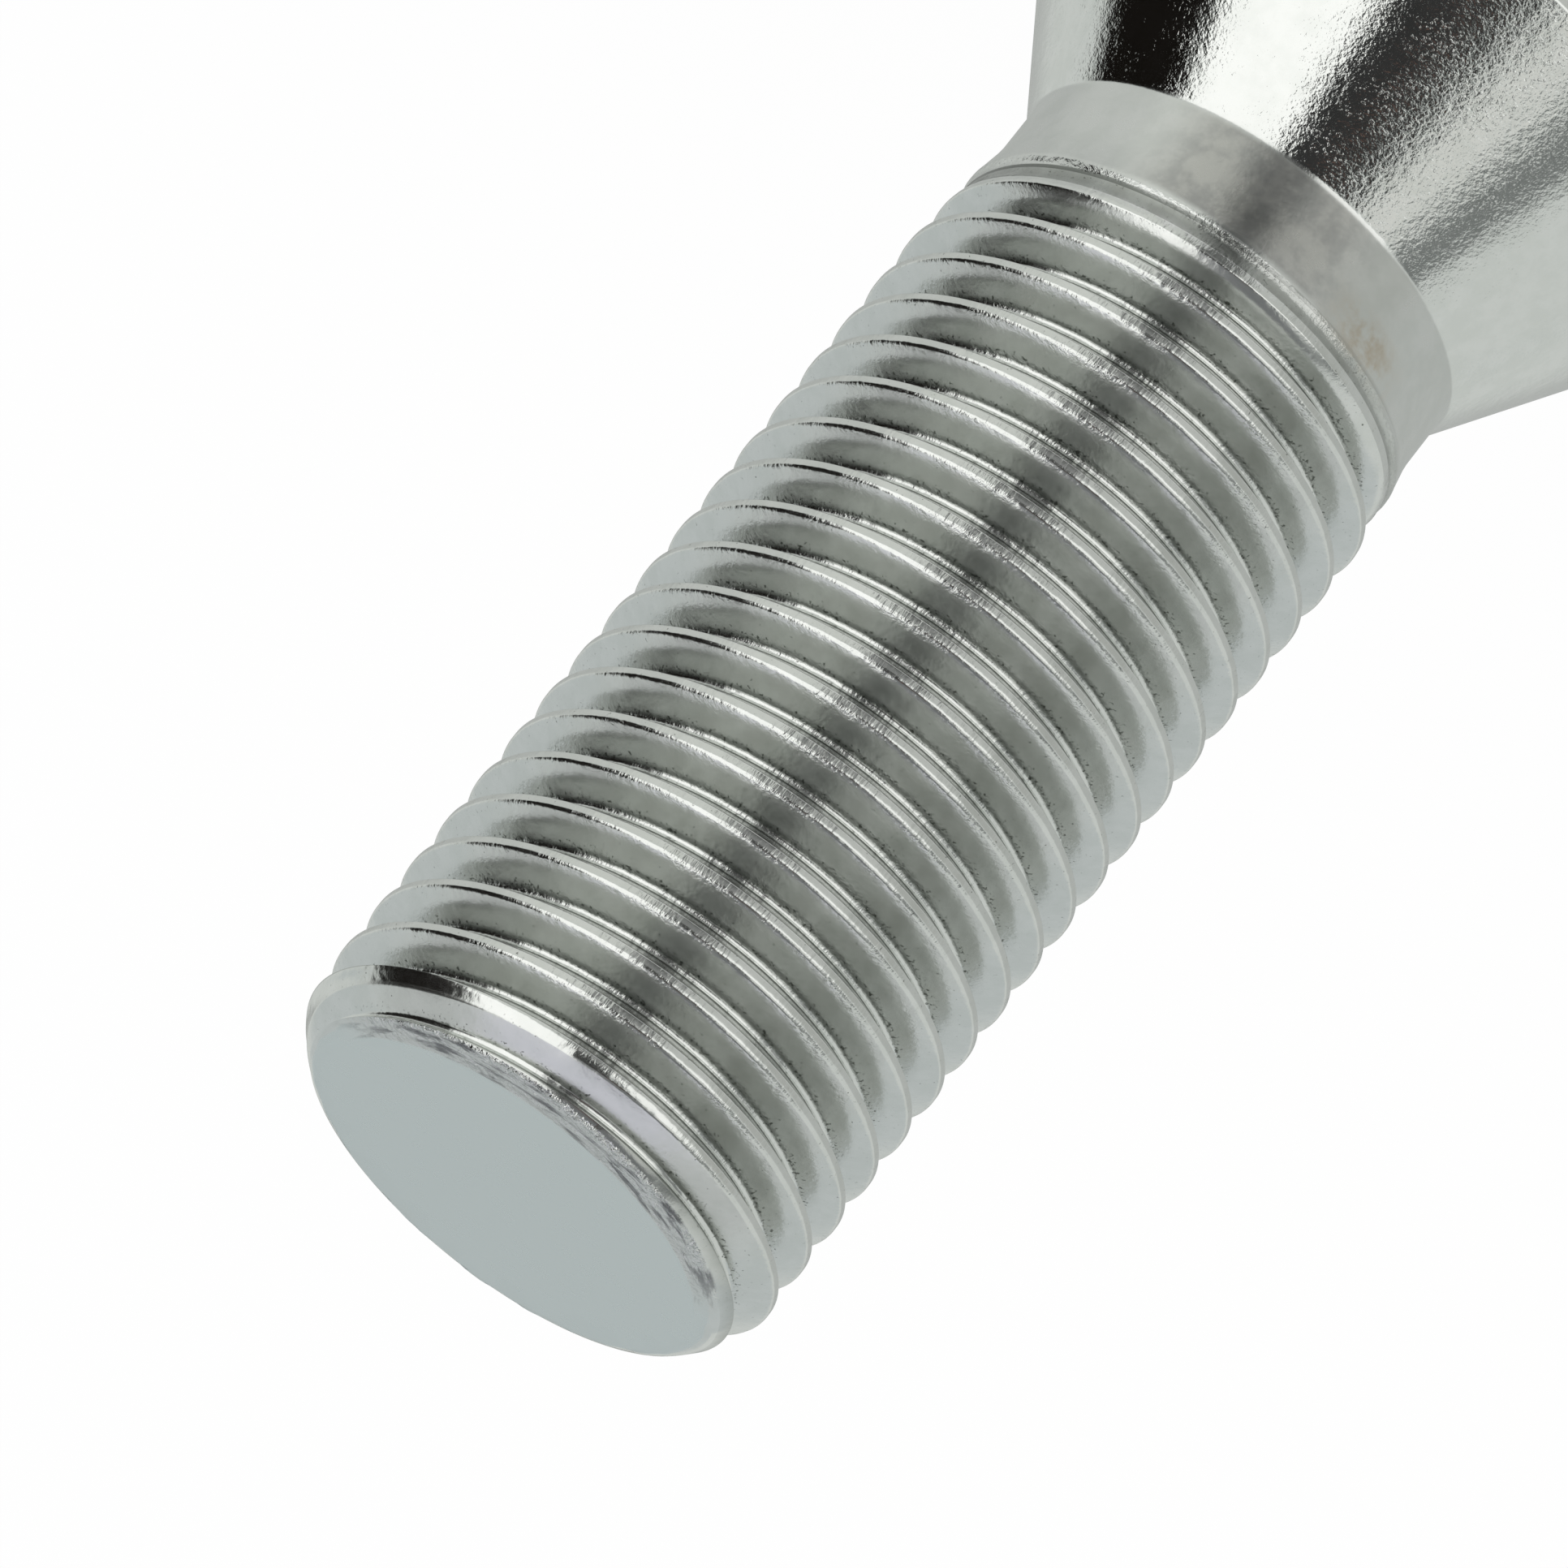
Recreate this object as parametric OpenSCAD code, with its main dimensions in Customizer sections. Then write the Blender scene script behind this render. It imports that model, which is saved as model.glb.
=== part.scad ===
// Wheel bolt: one forging with a hexagon head, a conical seat, a plain collar and a rolled thread.
// It stands on the flat end of its head, with the threaded tip up. Sizes are in millimetres.

/* [Thread] */
// Nominal size of the thread over its crests
thread_diameter = 12; // [10:0.5:14]
// Distance from one crest to the next
thread_pitch = 1.25; // [1:0.25:1.5]
// Length from the start of the conical seat to the tip
shank_length = 27.8; // [24:0.1:45]
// Plain length between the conical seat and the first rise of the thread
collar_length = 1.5; // [1:0.1:4]
// Half of the angle between two neighbouring flanks
flank_angle = 30; // [27:0.5:31]
// Direction in which the thread begins, seen from the tip
thread_start_angle = 198; // [0:1:359]

/* [Tip] */
// How far the end face stays inside the crests of the thread
tip_chamfer_depth = 0.88; // [0.6:0.02:1.4]
// Length of the chamfer around the end face
tip_chamfer_length = 0.7; // [0.4:0.05:2]

/* [Seat] */
// Diameter of the conical seat where it meets the head
seat_diameter = 17.5; // [15:0.1:17.9]
// Full angle of the conical seat
seat_angle = 60; // [55:1:70]
// Height of the round land between the seat and the hexagon
land_height = 1.3; // [0.8:0.1:3]

/* [Head] */
// Width of the hexagon across its flats
head_width = 17; // [16:1:21]
// Height of the hexagon
head_height = 14; // [10:0.5:18]
// Slope of the turned chamfer on both ends of the hexagon
head_chamfer_angle = 30; // [20:1:40]

/* [Hidden] */
$fn = 96;
plated_steel = [0.72, 0.73, 0.72];

// A standard thread is made a little smaller than its nominal size
crest_clearance = 0.11 * thread_pitch;
crest_radius = (thread_diameter - crest_clearance) / 2;
crest_width = 0.2 * thread_pitch;
root_width = 0.14 * thread_pitch;
flank_width = (thread_pitch - crest_width - root_width) / 2;
root_radius = crest_radius - flank_width / tan(flank_angle);
// A rolled thread is raised from a blank of its pitch diameter, which the collar keeps
collar_radius = (thread_diameter - 0.65 * thread_pitch) / 2;

seat_radius = seat_diameter / 2;
seat_height = (seat_radius - collar_radius) / tan(seat_angle / 2);
land_bottom = head_height;
seat_bottom = land_bottom + land_height;
collar_bottom = seat_bottom + seat_height;
thread_bottom = collar_bottom + collar_length;
tip_height = collar_bottom + shank_length;

corner_radius = head_width / sqrt(3);
head_face_radius = 0.95 * head_width / 2;
head_chamfer_height = (corner_radius - head_face_radius) * tan(head_chamfer_angle);

// The thread is a helical surface in steps, with one section of four points to each step
steps_per_turn = 36;
crest_rise_turns = 1.9;
root_start_turns = 0.5;
root_fall_turns = 0.9;
tip_fade_turns = 1.2;
embed_turns = 0.6;
blank_radius = collar_radius - 0.02 * thread_pitch;
tip_radius = crest_radius - tip_chamfer_depth;
helix_start = thread_bottom - embed_turns * thread_pitch;
turns = ceil((tip_height - helix_start) / thread_pitch) + 1;
last_step = turns * steps_per_turn;
section_offsets = [0, root_width, root_width + flank_width, root_width + flank_width + crest_width];

function share(z, low, high) = max(0, min(1, (z - low) / (high - low)));
function mixed(a, b, t) = a + (b - a) * t;

// Radius of the crest and of the root at height z. Above the collar the crest rises first and the
// groove starts a little later, and at the tip the crest sinks back into the blank.
function crest_at(z) = mixed(blank_radius, crest_radius, min(
    share(z, thread_bottom, thread_bottom + crest_rise_turns * thread_pitch),
    share(-z, -tip_height, tip_fade_turns * thread_pitch - tip_height)));
function root_at(z) = mixed(blank_radius, root_radius, share(z,
    thread_bottom + root_start_turns * thread_pitch,
    thread_bottom + (root_start_turns + root_fall_turns) * thread_pitch));

function section_point(step, j) =
    let (angle = 360 * step / steps_per_turn,
         z = helix_start + thread_pitch * step / steps_per_turn + section_offsets[j],
         r = j < 2 ? root_at(z) : crest_at(z))
    [r * cos(angle), r * sin(angle), z];

// Number of the point j of a step; point 4 is the first one of the turn above
function number(step, j) = j < 4 ? 4 * step + j : 4 * (step + steps_per_turn);

module thread_solid() {
    full_steps = last_step + steps_per_turn;
    points = [for (i = [0:full_steps]) for (j = [0:3]) section_point(i, j)];
    low_hub = len(points);
    high_hub = low_hub + 1;
    hubs = [[0, 0, helix_start + thread_pitch / 2],
            [0, 0, helix_start + (turns + 0.5) * thread_pitch]];
    walls = [for (i = [0:last_step - 1]) for (j = [0:3]) each
        [[number(i, j), number(i + 1, j + 1), number(i + 1, j)],
         [number(i, j), number(i, j + 1), number(i + 1, j + 1)]]];
    low_ramp = [for (i = [0:steps_per_turn - 1]) [low_hub, number(i, 0), number(i + 1, 0)]];
    high_ramp = [for (i = [last_step:last_step + steps_per_turn - 1])
        [high_hub, number(i + 1, 0), number(i, 0)]];
    low_step = [[low_hub, number(0, 4), number(0, 3), number(0, 2), number(0, 1), number(0, 0)]];
    high_step = [[high_hub, number(last_step, 0), number(last_step, 1), number(last_step, 2),
        number(last_step, 3), number(last_step, 4)]];
    polyhedron(points = concat(points, hubs),
        faces = concat(walls, low_ramp, high_ramp, low_step, high_step), convexity = 10);
}

// The outline that the chamfered tip leaves to the thread
module tip_envelope() {
    bottom = helix_start - thread_pitch;
    clear_radius = crest_radius + thread_pitch;
    rotate_extrude()
        polygon([
            [0, bottom],
            [clear_radius, bottom],
            [clear_radius, tip_height - tip_chamfer_length],
            [crest_radius, tip_height - tip_chamfer_length],
            [tip_radius, tip_height],
            [0, tip_height]
        ]);
}

module threaded_shank() {
    intersection() {
        rotate([0, 0, thread_start_angle])
            thread_solid();
        tip_envelope();
    }
}

module seat_and_collar() {
    rotate_extrude()
        polygon([
            [0, land_bottom],
            [seat_radius, land_bottom],
            [seat_radius, seat_bottom],
            [collar_radius, collar_bottom],
            [collar_radius, thread_bottom],
            [0, thread_bottom]
        ]);
}

module hexagon_head() {
    intersection() {
        linear_extrude(height = head_height)
            circle(r = corner_radius, $fn = 6);
        rotate_extrude()
            polygon([
                [0, 0],
                [head_face_radius, 0],
                [corner_radius, head_chamfer_height],
                [corner_radius, head_height - head_chamfer_height],
                [head_face_radius, head_height],
                [0, head_height]
            ]);
    }
}

module wheel_bolt() {
    color(plated_steel)
        union() {
            hexagon_head();
            seat_and_collar();
            threaded_shank();
        }
}

wheel_bolt();
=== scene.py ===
"""A bright plated wheel bolt on white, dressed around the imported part."""
import math

import bmesh
import bpy
from mathutils import Matrix, Vector, noise


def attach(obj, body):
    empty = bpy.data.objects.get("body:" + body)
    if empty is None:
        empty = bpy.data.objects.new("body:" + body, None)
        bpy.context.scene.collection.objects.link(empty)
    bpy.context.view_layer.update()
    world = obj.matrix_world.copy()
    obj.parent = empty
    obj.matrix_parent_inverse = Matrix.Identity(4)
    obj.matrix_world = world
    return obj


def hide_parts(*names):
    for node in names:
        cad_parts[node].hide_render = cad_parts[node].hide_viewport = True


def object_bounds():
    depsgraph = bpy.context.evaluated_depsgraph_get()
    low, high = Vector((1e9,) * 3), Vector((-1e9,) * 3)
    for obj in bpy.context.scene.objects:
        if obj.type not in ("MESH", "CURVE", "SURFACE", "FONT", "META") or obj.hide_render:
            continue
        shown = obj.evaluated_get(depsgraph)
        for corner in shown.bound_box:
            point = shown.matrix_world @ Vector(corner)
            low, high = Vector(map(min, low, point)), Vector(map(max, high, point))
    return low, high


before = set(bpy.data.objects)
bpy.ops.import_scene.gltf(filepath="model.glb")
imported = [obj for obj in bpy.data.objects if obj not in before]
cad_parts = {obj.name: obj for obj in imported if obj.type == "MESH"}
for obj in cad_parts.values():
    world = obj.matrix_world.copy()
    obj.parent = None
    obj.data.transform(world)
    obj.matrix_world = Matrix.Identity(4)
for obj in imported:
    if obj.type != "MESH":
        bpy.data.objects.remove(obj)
cad_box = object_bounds()

# Driving sizes, in millimetres, as in the part's source
MM = 0.001
THREAD_DIAMETER = 12.0
PITCH = 1.25
COLLAR_LENGTH = 1.5
TIP_CHAMFER_DEPTH = 0.88
SEAT_DIAMETER = 17.5
SEAT_HALF_ANGLE = math.radians(30)
LAND_HEIGHT = 1.3
HEAD_WIDTH = 17.0
HEAD_HEIGHT = 14.0
HEAD_CHAMFER_ANGLE = math.radians(30)
FLANK_ANGLE = math.radians(30)

# Sizes that follow from them. The seat stays a hair inside the part's own.
CREST_RADIUS = (THREAD_DIAMETER - 0.11 * PITCH) / 2
COLLAR_RADIUS = (THREAD_DIAMETER - 0.65 * PITCH) / 2
CREST_HALF = 0.085 * PITCH
ROOT_HALF = 0.053 * PITCH
FLANK_END = PITCH / 2 - ROOT_HALF
TAN_FLANK = math.tan(FLANK_ANGLE)
THREAD_DEPTH = (FLANK_END - CREST_HALF) / TAN_FLANK
ROOT_RADIUS = CREST_RADIUS - THREAD_DEPTH
SEAT_RADIUS = 0.9998 * SEAT_DIAMETER / 2
SEAT_BOTTOM = HEAD_HEIGHT + LAND_HEIGHT
COLLAR_BOTTOM = SEAT_BOTTOM + (SEAT_RADIUS - COLLAR_RADIUS) / math.tan(SEAT_HALF_ANGLE)
THREAD_BOTTOM = COLLAR_BOTTOM + COLLAR_LENGTH
TIP_HEIGHT = cad_box[1].z / MM
TIP_RADIUS = CREST_RADIUS - TIP_CHAMFER_DEPTH
HEAD_FACE_RADIUS = 0.95 * HEAD_WIDTH / 2
# Height of a crest's middle in the direction of +X
CREST_START = 0.325

# The head's rounded corners, and the rounding between its sides and its chamfers
CORNER_ROUNDING = 1.0
HEAD_EDGE = 0.12

# The collar swells towards a rough step, and the crests rise from there: (height, swelling)
NECK_RINGS = ((0.2, 0.03), (0.5, 0.085), (0.75, 0.13), (0.84, 0.152), (0.89, 0.156),
              (0.94, 0.145), (0.99, 0.132), (1.04, 0.118), (1.09, 0.105))
STEP_RISE = 0.85
STEP_BURR = 0.008
THREAD_LOW = THREAD_BOTTOM + 1.14
CREST_RISE = ((1.14, 0.1), (1.45, 0.16), (1.77, 0.23), (2.4, CREST_RADIUS - COLLAR_RADIUS))
ROOT_FALL = (THREAD_BOTTOM + 1.2, THREAD_BOTTOM + 1.95)

# The taper that cuts the last crests, and the chamfer after it
TAPER_START = TIP_HEIGHT - 0.98
TAPER_SOFTNESS = 0.12
TAPER_SLOPE = 0.62
CHAMFER_END = TIP_RADIUS + 0.08
CHAMFER_SLOPE = 1.0
THREAD_HIGH = TIP_HEIGHT - 0.1

# The flat end face, which the burred rim narrows on the camera's side
FACE_HEIGHT = TIP_HEIGHT - 0.03
FACE_RADIUS = 4.92
FACE_NARROWING = 0.5
# The rim's rings: radius, height above the face, how far they come in and down on the camera's
# side, the burrs in radius and in height, and the seed of the latter
RIM_RINGS = (
    (5.12, -0.03, 0.0, 0.0, 0.04, 0.02, 5),
    (5.04, 0.012, 0.1, 0.035, 0.06, 0.02, 5),
    (4.98, 0.006, 0.3, 0.02, 0.06, 0.02, 7),
    (FACE_RADIUS, 0.0, FACE_NARROWING, 0.0, 0.08, 0.0, 5),
)
RIM_SEED = 3

COLUMNS = 228
# Roundings of a crest and of a root, on the side towards the tip and the side towards the head
CREST_FILLETS = {1: 0.12, -1: 0.04}
ROOT_FILLETS = {1: 0.115, -1: 0.115}
# Degrees round a fillet. Both half profiles of a pitch share the crest's middle.
FILLET_STEPS = (0, 20, 40, 60)
ROWS_PER_PITCH = 4 * len(FILLET_STEPS) + 3


def smooth_share(value, low, high):
    """0 below low, 1 above high, and a smooth rise between them."""
    t = min(1.0, max(0.0, (value - low) / (high - low)))
    return t * t * (3 - 2 * t)


def mixed(a, b, t):
    return a + (b - a) * t


def crest_radius_at(z):
    height = z - THREAD_BOTTOM
    for (low, start), (high, end) in zip(CREST_RISE, CREST_RISE[1:]):
        if height < high:
            return COLLAR_RADIUS + mixed(start, end, max(0.0, height - low) / (high - low))
    return CREST_RADIUS


def root_radius_at(z):
    return mixed(crest_radius_at(z), ROOT_RADIUS, smooth_share(z, *ROOT_FALL))


def taper_radius_at(z):
    """Outline of the tip, which cuts the thread: a taper with a soft start and the chamfer."""
    past = z - TAPER_START
    if past < -TAPER_SOFTNESS:
        reach = 0.0
    elif past < TAPER_SOFTNESS:
        reach = (past + TAPER_SOFTNESS) ** 2 / (4 * TAPER_SOFTNESS)
    else:
        reach = past
    chamfer = CHAMFER_END + CHAMFER_SLOPE * (TIP_HEIGHT - z)
    return min(CREST_RADIUS - TAPER_SLOPE * reach, chamfer)


def half_profile(middle, side):
    """Knots (offset, radius) from the middle of a crest to the middle of the next root."""
    fillet = CREST_FILLETS[side]
    root_fillet = ROOT_FILLETS[-side]
    # The tip's taper widens the crest that it cuts
    edge = CREST_HALF
    for _ in range(3):
        cut = CREST_RADIUS - taper_radius_at(middle + side * edge)
        edge = min(CREST_HALF + cut * TAN_FLANK, FLANK_END - fillet)

    def spot(x, depth):
        z = middle + side * x
        share = min(1.0, depth / THREAD_DEPTH)
        radius = mixed(crest_radius_at(z), root_radius_at(z), share)
        return (side * x, min(radius, taper_radius_at(z)))

    knots = [spot(0.0, 0.0)]
    cut = (edge - CREST_HALF) / TAN_FLANK
    for degrees in FILLET_STEPS:
        b = math.radians(degrees)
        x = edge + fillet * (math.sin(b) - TAN_FLANK)
        knots.append(spot(x, cut + fillet * (1 - math.cos(b))))
    x = (knots[-1][0] * side + FLANK_END) / 2
    knots.append(spot(x, (x - CREST_HALF) / TAN_FLANK))
    for degrees in reversed(FILLET_STEPS):
        b = math.radians(degrees)
        x = FLANK_END + root_fillet * (TAN_FLANK - math.sin(b))
        knots.append(spot(x, THREAD_DEPTH - root_fillet * (1 - math.cos(b))))
    return knots


def pitch_rows(middle):
    """One pitch of (height, radius) rows round a crest, from just above a root to the next one."""
    below = half_profile(middle, -1)
    above = half_profile(middle, 1)
    knots = list(reversed(below[1:])) + above
    return [(middle + x, r) for x, r in knots]


def hexagon_radius(angle):
    """Distance to the hexagon's outline with rounded corners, in mm."""
    half = HEAD_WIDTH / 2
    thirty = math.radians(30)
    from_corner = (math.degrees(angle) + 30) % 60 - 30
    delta = math.radians(abs(from_corner))
    centre = (half - CORNER_ROUNDING) / math.cos(thirty)
    tangent = thirty - math.atan((half - CORNER_ROUNDING) * math.tan(thirty) / half)
    if delta < tangent:
        across = centre * math.sin(delta)
        return centre * math.cos(delta) + math.sqrt(CORNER_ROUNDING ** 2 - across ** 2)
    return half / math.cos(thirty - delta)


def rounded_outline(points, steps=4):
    """Rounds the corners of an outline given as (radius, height, rounding)."""
    out = []
    for i, (r, z, rounding) in enumerate(points):
        if rounding == 0:
            out.append((r, z))
            continue
        corner = Vector((r, z))
        a = (Vector(points[i - 1][:2]) - corner).normalized()
        b = (Vector(points[i + 1][:2]) - corner).normalized()
        half_angle = a.angle(b) / 2
        reach = rounding / math.tan(half_angle)
        centre = corner + (a + b).normalized() * (rounding / math.sin(half_angle))
        start, end = corner + a * reach, corner + b * reach
        for k in range(steps + 1):
            chord = start.lerp(end, k / steps)
            out.append(tuple(centre + (chord - centre).normalized() * rounding))
    return out


def point(radius, angle, height):
    """A place in metres from a radius and a height in mm."""
    return (radius * MM * math.cos(angle), radius * MM * math.sin(angle), height * MM)


class Lathe:
    """Rings of equal columns joined to one closed skin, from the bottom up."""

    def __init__(self, columns):
        self.bm = bmesh.new()
        self.columns = columns
        self.ring = None
        self.centre = None

    def start(self, z):
        self.centre = self.bm.verts.new((0, 0, z * MM))

    def add(self, radius, height):
        """radius and height are numbers, or functions of the column's angle."""
        ring = []
        for i in range(self.columns):
            angle = 2 * math.pi * i / self.columns
            r = radius(angle) if callable(radius) else radius
            z = height(angle) if callable(height) else height
            ring.append(self.bm.verts.new(point(r, angle, z)))
        for i in range(self.columns):
            j = (i + 1) % self.columns
            if self.ring is None:
                self.bm.faces.new((self.centre, ring[j], ring[i]))
            else:
                self.bm.faces.new((self.ring[i], self.ring[j], ring[j], ring[i]))
        self.ring = ring

    def close(self, z):
        top = self.bm.verts.new((0, 0, z * MM))
        for i in range(self.columns):
            self.bm.faces.new((self.ring[i], self.ring[(i + 1) % self.columns], top))

    def helix(self, low, high):
        """Rows that follow the thread between two heights. They wrap round one pitch higher."""
        first = math.floor((low - CREST_START) / PITCH) - 2
        last = math.ceil((high - CREST_START) / PITCH) + 2
        lines = []
        for i in range(self.columns):
            share = i / self.columns
            angle = 2 * math.pi * share
            line, top = [], None
            for k in range(first, last + 1):
                for z, r in pitch_rows(CREST_START + PITCH * (k + share)):
                    if z <= low:
                        line.append(self.ring[i])
                    elif top is not None:
                        line.append(top)
                    elif z < high:
                        line.append(self.bm.verts.new(point(r, angle, z)))
                    else:
                        top = self.bm.verts.new(point(taper_radius_at(high), angle, high))
                        line.append(top)
            lines.append(line)
        for i in range(self.columns):
            j = (i + 1) % self.columns
            self.strip(lines[i], lines[j], ROWS_PER_PITCH if j == 0 else 0)
        self.ring = [line[-1] for line in lines]

    def strip(self, left, right, shift):
        """Faces between two columns, without those that the ends of the thread collapse."""
        for q in range(min(len(left) - 1, len(right) - shift - 1)):
            corners = [left[q], right[q + shift], right[q + 1 + shift], left[q + 1]]
            kept = [v for n, v in enumerate(corners) if v is not corners[n - 1]]
            if len(set(kept)) >= 3:
                self.bm.faces.new(kept)

    def mesh(self, name):
        bmesh.ops.recalc_face_normals(self.bm, faces=self.bm.faces)
        data = bpy.data.meshes.new(name)
        self.bm.to_mesh(data)
        self.bm.free()
        return data


def burr(angle, amount, seed):
    """An uneven offset round the axis, in mm."""
    spot = Vector((math.cos(angle) * 3.0, math.sin(angle) * 3.0, seed))
    return amount * noise.noise(spot * 1.7) + 0.5 * amount * noise.noise(spot * 5.1)


def camera_side(angle):
    """1 on the camera's side of the bolt and 0 on the far side."""
    return ((1 - math.sin(angle)) / 2) ** 2


def add_head(lathe):
    """The hexagon, turned to a chamfer at both ends."""
    slope = math.tan(HEAD_CHAMFER_ANGLE)
    # Rings across the chamfer's outer edge: (inset, rise)
    edge_rings = ((HEAD_EDGE, -HEAD_EDGE * slope), (0.02, 0.03), (0.0, HEAD_EDGE))

    def chamfer_height(angle):
        return (hexagon_radius(angle) - HEAD_FACE_RADIUS) * slope

    lathe.start(0)
    lathe.add(HEAD_FACE_RADIUS * 0.6, 0)
    lathe.add(HEAD_FACE_RADIUS - 0.15, 0)
    lathe.add(HEAD_FACE_RADIUS + 0.05, 0.05)
    for inset, rise in edge_rings:
        lathe.add(lambda a: hexagon_radius(a) - inset, lambda a: chamfer_height(a) + rise)
    for level in (0.25, 0.5, 0.75):
        lathe.add(hexagon_radius, HEAD_HEIGHT * level)
    for inset, rise in reversed(edge_rings):
        lathe.add(lambda a: hexagon_radius(a) - inset,
                  lambda a: HEAD_HEIGHT - chamfer_height(a) - rise)


def add_seat_and_collar(lathe):
    outline = [
        (HEAD_FACE_RADIUS, HEAD_HEIGHT, 0),
        (SEAT_RADIUS, HEAD_HEIGHT, 0.12),
        (SEAT_RADIUS, SEAT_BOTTOM, 0.18),
        (COLLAR_RADIUS, COLLAR_BOTTOM, 0.35),
        (COLLAR_RADIUS, THREAD_BOTTOM - 0.12, 0),
    ]
    for r, z in rounded_outline(outline):
        lathe.add(r, z)
    for rise, swelling in NECK_RINGS:
        rough = STEP_BURR if rise > STEP_RISE else 0.0
        lathe.add(lambda a: COLLAR_RADIUS + swelling + burr(a, rough, rise * 40),
                  lambda a: THREAD_BOTTOM + rise + burr(a, 4 * rough, 9))


def add_end_face(lathe):
    for r, rise, inwards, down, burr_out, burr_up, seed in RIM_RINGS:
        lathe.add(lambda a: r - inwards * camera_side(a) + burr(a, burr_out, RIM_SEED),
                  lambda a: FACE_HEIGHT + rise - down * camera_side(a) + burr(a, burr_up, seed))
    for share in (0.8, 0.6, 0.3):
        lathe.add(TIP_RADIUS * share, FACE_HEIGHT)
    lathe.close(FACE_HEIGHT)


def bolt_mesh():
    lathe = Lathe(COLUMNS)
    add_head(lathe)
    add_seat_and_collar(lathe)
    lathe.add(crest_radius_at(THREAD_LOW), THREAD_LOW)
    lathe.helix(THREAD_LOW, THREAD_HIGH)
    add_end_face(lathe)
    return lathe.mesh("bolt_body")


class Graph:
    """Short names for the node links of one material or world."""

    def __init__(self, tree):
        self.tree = tree
        tree.nodes.clear()

    def node(self, kind, inputs=None, **settings):
        made = self.tree.nodes.new(kind)
        for name, value in settings.items():
            setattr(made, name, value)
        for key, value in (inputs or {}).items():
            self.feed(made.inputs[key], value)
        return made

    def feed(self, socket, value):
        if isinstance(value, bpy.types.NodeSocket):
            self.tree.links.new(value, socket)
        else:
            socket.default_value = value

    def math(self, operation, *values):
        made = self.node("ShaderNodeMath", operation=operation)
        for socket, value in zip(made.inputs, values):
            self.feed(socket, value)
        return made.outputs[0]

    def plus(self, a, b):
        return self.math("ADD", a, b)

    def minus(self, a, b):
        return self.math("SUBTRACT", a, b)

    def times(self, a, b):
        return self.math("MULTIPLY", a, b)

    def stretched(self, vector, scales):
        made = self.node("ShaderNodeVectorMath", {0: vector, 1: scales}, operation="MULTIPLY")
        return made.outputs[0]

    def rise(self, value, low, high, at_low=0.0, at_high=1.0):
        """Goes smoothly from at_low to at_high as value goes from low to high."""
        made = self.node("ShaderNodeMapRange", interpolation_type="SMOOTHSTEP", inputs={
            "Value": value, "From Min": low, "From Max": high,
            "To Min": at_low, "To Max": at_high})
        return made.outputs["Result"]

    def band(self, value, low, high, soft):
        """1 between low and high, with soft edges."""
        up = self.rise(value, low - soft, low + soft)
        down = self.rise(value, high - soft, high + soft, 1.0, 0.0)
        return self.times(up, down)

    def blend(self, factor, a, b):
        made = self.node("ShaderNodeMix", data_type="RGBA")
        self.feed(made.inputs["Factor"], factor)
        self.feed(made.inputs["A"], a)
        self.feed(made.inputs["B"], b)
        return made.outputs["Result"]

    def noise(self, vector, scale, detail, roughness):
        made = self.node("ShaderNodeTexNoise", inputs={
            "Vector": vector, "Scale": scale, "Detail": detail, "Roughness": roughness})
        return made.outputs["Fac"]

    def bump(self, height, strength, depth, normal=None):
        """Bump of a depth in mm, on top of another bump's normal where one is given."""
        made = self.node("ShaderNodeBump", {
            "Height": height, "Strength": strength, "Distance": depth * MM})
        if normal is not None:
            self.feed(made.inputs["Normal"], normal)
        return made.outputs["Normal"]


def rgb(red, green, blue):
    return (red, green, blue, 1.0)


WHITE = rgb(1.0, 1.0, 1.0)

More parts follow.
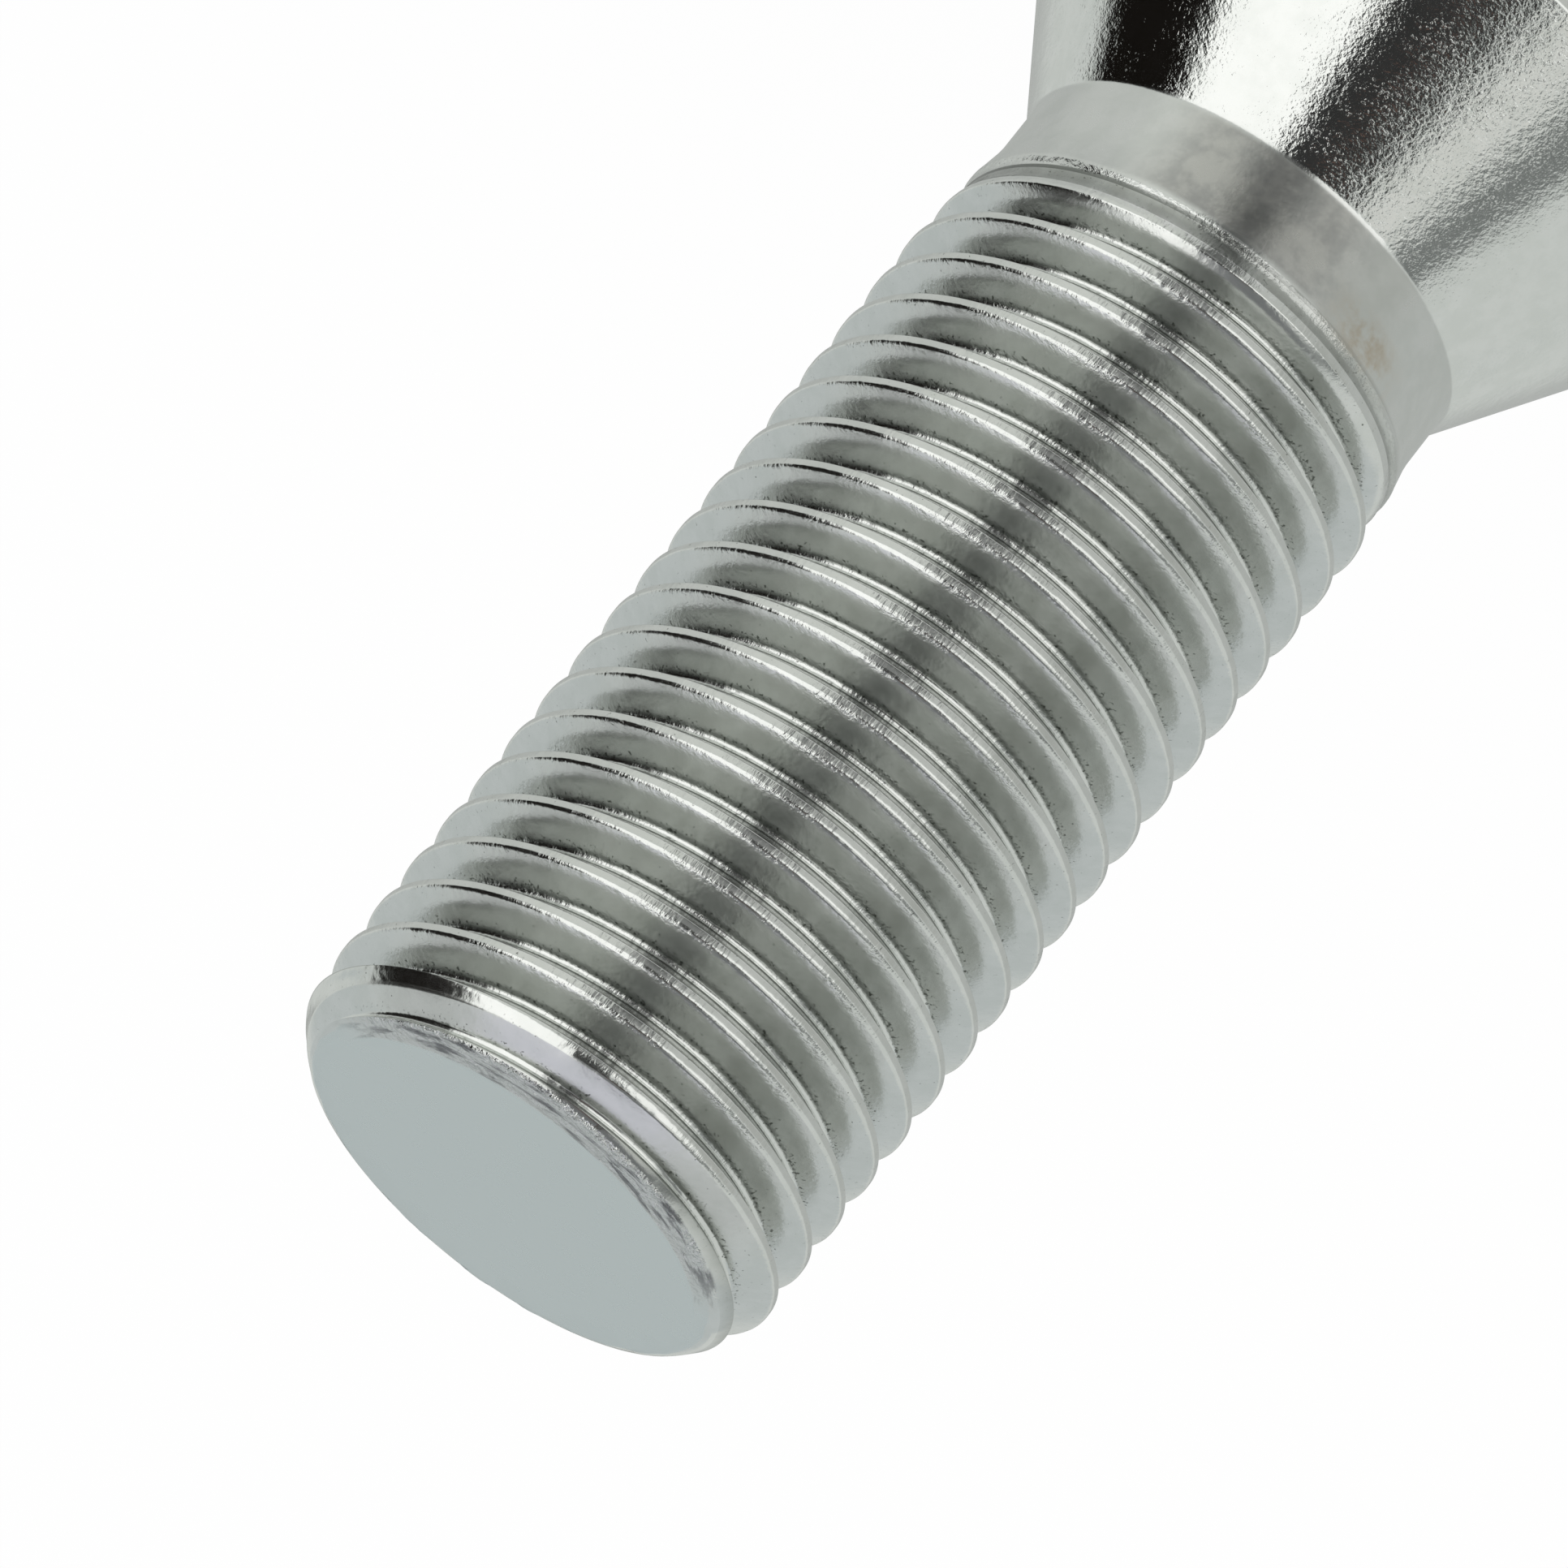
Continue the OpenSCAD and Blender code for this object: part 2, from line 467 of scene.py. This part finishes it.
# What the metal mirrors: patches of the studio by direction, each over the ones before it. They
# give the azimuths, the elevations and the softness of the edge in degrees, and the colour.
# Azimuth 0 is towards the camera and grows to the left of the standing bolt, and elevation 90 is
# straight up. A limit beyond the sphere leaves no edge there.
STUDIO_BASE = rgb(0.60, 0.62, 0.60)
STUDIO_PATCHES = {
    "overhead": ((-400, 400), (64, 140), 10, rgb(0.60, 0.60, 0.66)),
    "back_high": ((110, 250), (40, 66), 4, rgb(0.47, 0.485, 0.48)),
    "back": ((122, 238), (4, 38), 5, rgb(0.50, 0.53, 0.53)),
    "ground": ((-400, 400), (-62, -14), 5, rgb(0.46, 0.475, 0.46)),
    "paper_below": ((-400, 400), (-140, -55), 6, rgb(0.75, 0.75, 0.75)),
    "low_left": ((-82, -20), (-50, -10), 7, rgb(0.64, 0.655, 0.625)),
    "low_right": ((42, 76), (-50, -10), 7, rgb(0.41, 0.42, 0.40)),
    "low_middle": ((3, 40), (-50, -16), 5, rgb(0.52, 0.53, 0.51)),
    "low_far": ((-125, -75), (-40, -10), 6, rgb(0.54, 0.555, 0.535)),
    "low_dark": ((-22, 4), (-50, -8), 7, rgb(0.20, 0.203, 0.20)),
    "low_darker": ((-22, 4), (-60, -31), 6, rgb(0.10, 0.103, 0.10)),
    "right_light": ((30, 47), (20, 42), 6, rgb(0.68, 0.68, 0.65)),
    "horizon": ((3, 46), (-14, 15), 3, rgb(1.0, 1.0, 0.98)),
    "camera_right": ((-10, 25), (22, 88), 6, rgb(0.03, 0.03, 0.03)),
    "camera": ((-16.5, 10), (20, 88), 4, rgb(0.03, 0.03, 0.03)),
    "brown": ((0, 12), (34, 48), 4, rgb(0.13, 0.08, 0.065)),
    "tripod": ((-16, 2), (-10, 34), 3, rgb(0.03, 0.03, 0.03)),
    "high_right": ((-20, 76), (44, 84), 5, rgb(0.16, 0.165, 0.17)),
    "dark_right": ((52, 70), (0, 60), 5, rgb(0.18, 0.19, 0.185)),
    "dark_left": ((-115, -68), (-5, 54), 3, rgb(0.006, 0.005, 0.004)),
    "softbox_left": ((-66, -17), (0, 82), 2.5, rgb(1.1, 1.1, 1.08)),
}
# Light that falls on the floor
AMBIENT = rgb(0.92, 0.92, 0.92)


def make_world():
    world = bpy.data.worlds.new("studio")
    world.use_nodes = True
    bpy.context.scene.world = world
    g = Graph(world.node_tree)
    direction = g.node("ShaderNodeTexCoord").outputs["Generated"]
    split = g.node("ShaderNodeSeparateXYZ", {"Vector": direction}).outputs
    degrees = 180 / math.pi
    azimuth = g.math("ARCTAN2", g.times(split["X"], -1.0), g.times(split["Y"], -1.0))
    azimuth = g.times(azimuth, degrees)
    elevation = g.times(g.math("ARCSINE", split["Z"]), degrees)
    # Behind the bolt the azimuth goes on past 180
    round_azimuth = g.math("WRAP", azimuth, 300.0, -60.0)
    colour = STUDIO_BASE
    for azimuths, elevations, soft, tint in STUDIO_PATCHES.values():
        around = round_azimuth if azimuths[1] > 180 else azimuth
        mask = g.times(g.band(around, *azimuths, soft), g.band(elevation, *elevations, soft))
        colour = g.blend(mask, colour, tint)
    path = g.node("ShaderNodeLightPath").outputs
    mirrored = g.math("MAXIMUM", path["Is Glossy Ray"], path["Is Transmission Ray"])
    lit = g.blend(mirrored, AMBIENT, colour)
    seen = g.blend(path["Is Camera Ray"], lit, WHITE)
    background = g.node("ShaderNodeBackground", {"Color": seen, "Strength": 1.0})
    g.node("ShaderNodeOutputWorld", {"Surface": background.outputs[0]})


def floor_material():
    """White paper: mostly plain white to the camera, and matte where the bolt shades it."""
    material = bpy.data.materials.new("studio_floor")
    material.use_nodes = True
    g = Graph(material.node_tree)
    path = g.node("ShaderNodeLightPath").outputs
    seen = g.math("MAXIMUM", path["Is Camera Ray"],
                  g.math("MAXIMUM", path["Is Glossy Ray"], path["Is Transmission Ray"]))
    matte = g.node("ShaderNodeBsdfDiffuse", {"Color": rgb(0.9, 0.9, 0.9)})
    glow = g.node("ShaderNodeEmission", {"Color": WHITE, "Strength": 1.0})
    share = g.times(seen, 0.85)
    mix = g.node("ShaderNodeMixShader", {0: share, 1: matte.outputs[0], 2: glow.outputs[0]})
    g.node("ShaderNodeOutputMaterial", {"Surface": mix.outputs[0]})
    return material


# Tints of the plating. Those in pairs are two shades that a noise mixes.
BRIGHT_STEEL = (rgb(0.82, 0.84, 0.815), rgb(0.87, 0.885, 0.865))
# Darker steel for the flanks towards the head: painted shade, as they turn away from the light
SHADED_FLANK_STEEL = (rgb(0.44, 0.455, 0.43), rgb(0.52, 0.54, 0.515))
# Painted shade for the corner at the foot of a flank towards the head
PAINTED_CORNER_SHADE = rgb(0.20, 0.21, 0.195)
# Darker grey on the collar's side that faces the camera: a painted dark reflection
PAINTED_COLLAR_REFLECTION = (rgb(0.48, 0.485, 0.47), rgb(0.64, 0.64, 0.61))
# A brownish tint at the collar's top, on one side round the axis, mixed in by the mottle
BROWN_TINT = rgb(0.67, 0.60, 0.49)
END_FACE = rgb(0.785, 0.84, 0.835)
# Light and dark tints for the burred rim: painted glints
RIM = (rgb(0.78, 0.80, 0.79), rgb(0.22, 0.225, 0.235))
PIT = rgb(0.20, 0.21, 0.19)

# Where the painted dark reflection on the collar, the brown tint and the coarsest orange peel lie
# round the axis, in turns from +X
PAINTED_REFLECTION_TURNS = (-0.305, -0.17)
BROWN_TINT_TURNS = (-0.375, -0.32)
PATCH_EDGE_SOFTNESS = 0.025
COARSEST_PEEL_TURNS = (-0.335, -0.265)
# Offsets from a crest's middle: the corner at the foot of a flank towards the head, which takes
# painted shade, and the root
SHADED_CORNER_OFFSETS = (-0.575, -0.465)
ROOT_OFFSETS = (0.44, 0.56)
# Where the burred rim begins, past the face's edge, and how far round it reaches, as in
# camera_side
RIM_BEGINS = (-0.06, 0.04)
RIM_REACHES = (0.3, 0.7)

# Noises over the plating: (scale per mm, detail, roughness)
MOTTLE = (1.4, 4.0, 0.6)
SPECKS = (11.0, 3.0, 0.6)
DENTS = (13.0, 2.0, 0.5)
DENT_CLUSTERS = (1.3, 3.0, 0.6)
COARSE_PEEL = (4.5, 2.0, 0.5)
FINE_PEEL = (14.0, 2.0, 0.5)
MARK_GROUPS = (0.8, 2.0, 0.5)
WAVES = (1.7, 2.0, 0.5)
TORN_RIM = (4.0, 3.0, 0.6)
GRAIN = (7.0, 3.0, 0.6)
# Noises that are stretched: the scales of the place, and then as above
RIM_GLINT_SCALES = (25.0, 4.0)
RIM_GLINTS = (1.0, 4.0, 0.6)
MARK_SCALES = (9.0, 9.0, 2.0)
MARKS = (1.0, 3.0, 0.6)

# Depths of the bumps, in mm
PEEL_DEPTH = 0.02
MARK_DEPTH = 0.02
WAVE_DEPTH = 0.03
TORN_RIM_DEPTH = 0.2
GRAIN_DEPTH = 0.01


class Zones:
    """The bolt's zones as masks from 0 to 1, by the place on it in millimetres."""

    def __init__(self, g, place):
        split = g.node("ShaderNodeSeparateXYZ", {"Vector": place}).outputs
        x, y, height = split["X"], split["Y"], split["Z"]
        turn = g.math("DIVIDE", g.math("ARCTAN2", y, x), 2 * math.pi)
        radius = g.math("SQRT", g.plus(g.times(x, x), g.times(y, y)))
        self.height, self.turn, self.radius = height, turn, radius

        self.seat = g.band(height, SEAT_BOTTOM + 0.05, COLLAR_BOTTOM - 0.05, 0.05)
        self.collar = g.band(height, COLLAR_BOTTOM + 0.05, THREAD_BOTTOM + 0.8, 0.1)
        self.step = g.band(height, THREAD_BOTTOM + 0.88, THREAD_LOW, 0.06)
        # Painted dark reflection on the collar where it faces the camera
        self.painted_reflection = g.times(
            self.collar, g.band(turn, *PAINTED_REFLECTION_TURNS, PATCH_EDGE_SOFTNESS))
        # A brownish tint at the collar's top, on one side
        self.brown_tint = g.times(
            g.band(height, THREAD_BOTTOM - 0.1, THREAD_BOTTOM + 0.9, 0.3),
            g.band(turn, *BROWN_TINT_TURNS, PATCH_EDGE_SOFTNESS))

        # Offset from the middle of the nearest crest, in mm: positive towards the tip
        pitches = g.minus(g.math("DIVIDE", g.minus(height, CREST_START), PITCH), turn)
        offset = g.times(g.minus(pitches, g.math("ROUND", pitches)), PITCH)
        from_crest = g.math("ABSOLUTE", offset)
        self.thread = g.band(height, THREAD_BOTTOM + 1.0, TIP_HEIGHT - 0.3, 0.3)
        self.flank = g.times(self.thread, g.band(
            from_crest, CREST_HALF + 0.05, FLANK_END - 0.05, 0.03))
        self.head_side = g.times(self.thread, g.band(offset, -FLANK_END, -CREST_HALF, 0.015))
        # The corner at the foot of a flank towards the head, which gets painted shade
        self.corner = g.times(self.thread, g.band(offset, *SHADED_CORNER_OFFSETS, 0.01))
        self.root = g.times(self.thread, g.band(offset, *ROOT_OFFSETS, 0.05))

        # The burred rim of the end face, on the camera's side as in camera_side
        near = g.minus(0.5, g.times(g.math("DIVIDE", y, radius), 0.5))
        near = g.times(near, near)
        past_face = g.plus(g.minus(radius, FACE_RADIUS), g.times(near, FACE_NARROWING))
        burred = g.times(g.rise(past_face, *RIM_BEGINS), g.rise(near, *RIM_REACHES))
        self.rim = g.times(g.rise(height, TIP_HEIGHT - 0.2, TIP_HEIGHT - 0.12), burred)
        flat = g.rise(height, TIP_HEIGHT - 0.06, TIP_HEIGHT - 0.04)
        self.face = g.times(flat, g.minus(1.0, self.rim))


def plating_tint(g, zones, place, mottle):
    """Bright steel, with painted shade on the flanks towards the head and at their feet, a painted
    dark reflection on the collar, a brown tint, painted glints on the burrs, and pits.
    """
    cloud = g.rise(mottle, 0.35, 0.65)
    # The flanks towards the head get the darker steel as painted shade
    tint = g.blend(zones.head_side, g.blend(cloud, *BRIGHT_STEEL), g.blend(cloud, *SHADED_FLANK_STEEL))
    # Painted shade in the corner at the foot of those flanks
    tint = g.blend(zones.corner, tint, PAINTED_CORNER_SHADE)
    # Painted dark reflection on the collar
    tint = g.blend(zones.painted_reflection, tint, g.blend(cloud, *PAINTED_COLLAR_REFLECTION))
    tint = g.blend(g.times(zones.brown_tint, cloud), tint, BROWN_TINT)
    tint = g.blend(zones.face, tint, END_FACE)
    # Painted light and dark glints on the burred rim, in flecks along it
    per_turn, per_mm = RIM_GLINT_SCALES
    along_rim = g.node("ShaderNodeCombineXYZ", {
        "X": g.times(zones.turn, per_turn), "Y": g.times(zones.radius, per_mm)}).outputs[0]
    glints = g.rise(g.noise(along_rim, *RIM_GLINTS), 0.48, 0.64)
    tint = g.blend(zones.rim, tint, g.blend(glints, *RIM))
    # Dark pits in the plating; they crowd into the root and onto the flanks towards the head as
    # painted shade
    speck = g.noise(place, *SPECKS)
    crowding_in_shade = g.plus(g.times(zones.root, 0.12), g.times(zones.head_side, 0.05))
    pits = g.times(g.rise(g.plus(speck, crowding_in_shade), 0.66, 0.78), zones.thread)
    return g.blend(pits, tint, PIT)


def plating_roughness(g, zones, mottle):
    rough = g.plus(0.16, g.times(zones.flank, 0.06))
    rough = g.minus(rough, g.times(zones.seat, 0.08))
    rough = g.plus(rough, g.times(zones.collar, 0.10))
    rough = g.plus(rough, g.times(zones.face, 0.12))
    return g.plus(rough, g.times(g.minus(mottle, 0.5), 0.08))


def plating_normal(g, zones, place):
    # The seat's orange peel, in a coarse and a fine grain, with sparse dents
    dents = g.rise(g.noise(place, *DENTS), 0.56, 0.70)
    clusters = g.rise(g.noise(place, *DENT_CLUSTERS), 0.45, 0.58)
    peel = g.plus(g.noise(place, *COARSE_PEEL), g.times(g.noise(place, *FINE_PEEL), 0.5))
    peel = g.plus(peel, g.times(g.times(dents, clusters), 0.28))
    strength = g.plus(0.4, g.times(g.band(zones.turn, *COARSEST_PEEL_TURNS, 0.02), 0.3))
    normal = g.bump(peel, g.times(zones.seat, strength), PEEL_DEPTH)

    # Tool marks across the thread, in groups, and weak past the start of the taper
    marks = g.noise(g.stretched(place, MARK_SCALES), *MARKS)
    groups = g.rise(g.noise(place, *MARK_GROUPS), 0.40, 0.62, 0.4, 1.1)
    below_taper = g.rise(zones.height, TAPER_START - 0.2, TAPER_START + 0.1, 1.0, 0.15)
    off_flank = g.minus(zones.thread, g.times(zones.flank, 0.65))
    normal = g.bump(marks, g.times(off_flank, g.times(groups, below_taper)), MARK_DEPTH, normal)

    # Slow waves along the thread, the torn rim, and a fine grain that is strong on the step
    normal = g.bump(g.noise(place, *WAVES), off_flank, WAVE_DEPTH, normal)
    normal = g.bump(g.noise(place, *TORN_RIM), zones.rim, TORN_RIM_DEPTH, normal)
    strength = g.plus(0.35, g.times(zones.step, 2.0))
    return g.bump(g.noise(place, *GRAIN), strength, GRAIN_DEPTH, normal)


def bolt_material():
    """Bright plated steel: mirror on the seat, satin on the collar and the end face."""
    material = bpy.data.materials.new("plated_steel")
    material.use_nodes = True
    g = Graph(material.node_tree)
    metres = g.node("ShaderNodeTexCoord").outputs["Object"]
    place = g.stretched(metres, (1 / MM,) * 3)
    zones = Zones(g, place)
    mottle = g.noise(place, *MOTTLE)
    shader = g.node("ShaderNodeBsdfPrincipled", {
        "Base Color": plating_tint(g, zones, place, mottle), "Metallic": 1.0,
        "Roughness": plating_roughness(g, zones, mottle),
        "Normal": plating_normal(g, zones, place)})
    g.node("ShaderNodeOutputMaterial", {"Surface": shader.outputs[0]})
    return material


def make_bolt():
    piece = bpy.data.objects.new("bolt_body", bolt_mesh())
    bpy.context.scene.collection.objects.link(piece)
    piece.data.materials.append(bolt_material())
    for face in piece.data.polygons:
        face.use_smooth = True
    piece.data.set_sharp_from_angle(angle=math.radians(40))
    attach(piece, "root")
    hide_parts("wheel_bolt")


def make_floor():
    reach = 1.5
    corners = [(-reach, -reach, 0), (reach, -reach, 0), (reach, reach, 0), (-reach, reach, 0)]
    data = bpy.data.meshes.new("floor")
    data.from_pydata(corners, [], [(0, 1, 2, 3)])
    floor = bpy.data.objects.new("floor", data)
    bpy.context.scene.collection.objects.link(floor)
    data.materials.append(floor_material())
    floor.visible_glossy = False


def make_lamp():
    lamp = bpy.data.lights.new("soft_lamp", "SUN")
    lamp.energy = 0.6
    lamp.angle = math.radians(40)
    holder = bpy.data.objects.new("soft_lamp", lamp)
    bpy.context.scene.collection.objects.link(holder)
    holder.rotation_euler = (math.radians(35), math.radians(-25), 0)
    holder.visible_glossy = False


# The camera of the photograph, from the helix that was fitted to its outlines
IMAGE_SIZE = 1932
FOCAL_PIXELS = 18314
CAMERA_ELEVATION = math.radians(24.12)
CAMERA_DISTANCE = 318.4
CAMERA_SIDE = 0.764
AIM_HEIGHT = 37.241
# Direction of the head in the picture, turned from the right towards the top, and a small roll
HEAD_DIRECTION = math.radians(51.875)
CAMERA_ROLL = math.radians(0.119)


def make_camera():
    data = bpy.data.cameras.new("camera")
    camera = bpy.data.objects.new("camera", data)
    bpy.context.scene.collection.objects.link(camera)
    data.sensor_width = 36.0
    data.lens = FOCAL_PIXELS / IMAGE_SIZE * data.sensor_width
    data.clip_start = 0.01
    data.clip_end = 10.0
    look = Vector((0, math.cos(CAMERA_ELEVATION), -math.sin(CAMERA_ELEVATION)))
    aim = Vector((CAMERA_SIDE, 0, AIM_HEIGHT)) * MM
    camera.location = aim - look * CAMERA_DISTANCE * MM
    # With the head up in the picture, its right side is -X and its upper side points down the bolt
    head_right = Vector((-1, 0, 0))
    head_up = look.cross(head_right) * -1
    turn = math.pi / 2 - HEAD_DIRECTION + CAMERA_ROLL
    right = head_right * math.cos(turn) + head_up * math.sin(turn)
    up = right.cross(look)
    basis = Matrix((right, up, -look)).transposed()
    camera.rotation_euler = basis.to_euler()
    bpy.context.scene.camera = camera


make_camera()
make_world()
make_floor()
make_lamp()
make_bolt()

bpy.context.scene.view_settings.view_transform = "Standard"
